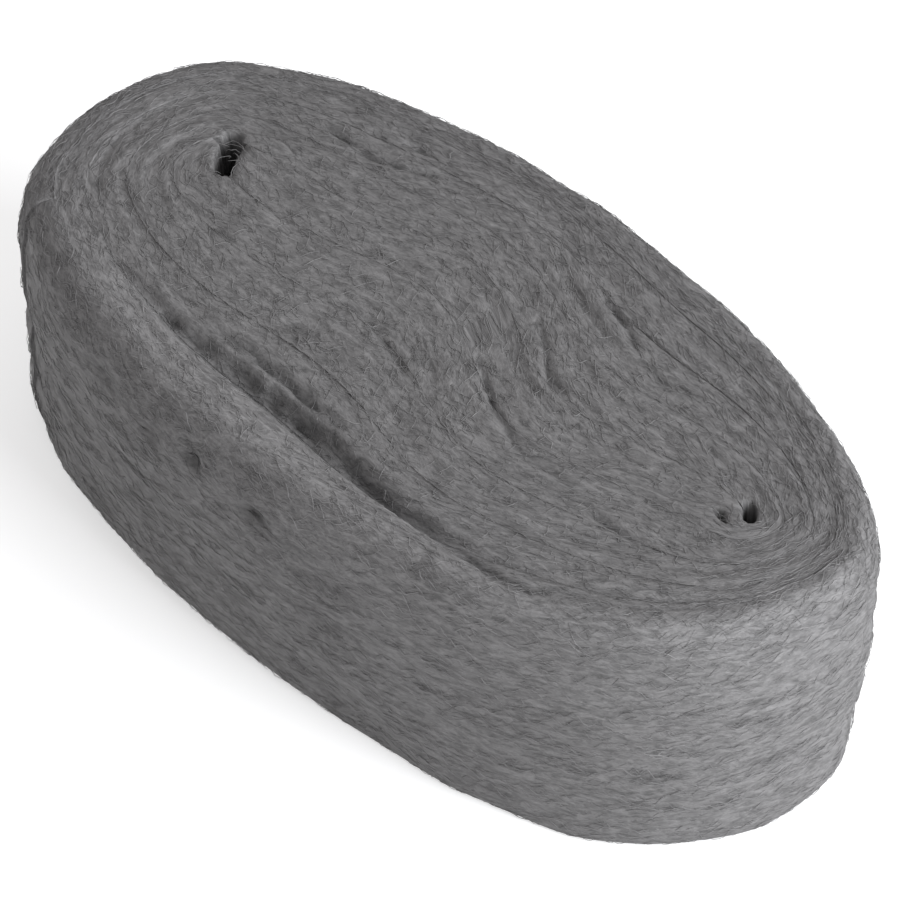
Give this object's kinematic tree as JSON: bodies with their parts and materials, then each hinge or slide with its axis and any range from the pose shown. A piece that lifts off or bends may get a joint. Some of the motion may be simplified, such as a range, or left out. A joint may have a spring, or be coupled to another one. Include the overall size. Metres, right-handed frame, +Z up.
{
  "type": "steel wool pad",
  "caption": "Oval hank of steel wool: one flat band wound in a double spiral round two pin holes, flat underneath, with a rounded rim.",
  "frame": {"origin": "middle of the flat underside, where the hank rests", "axes": "+X along the hank, +Y across it, +Z up out of the turns' upper edges"},
  "size_m": [0.1908, 0.0992, 0.0598],
  "materials": {
    "steel_wool": "fine matted steel fibre, mid grey, matt with small glints"
  },
  "bodies": {
    "root": {"wound_wool": "steel_wool"}
  },
  "joints": []
}
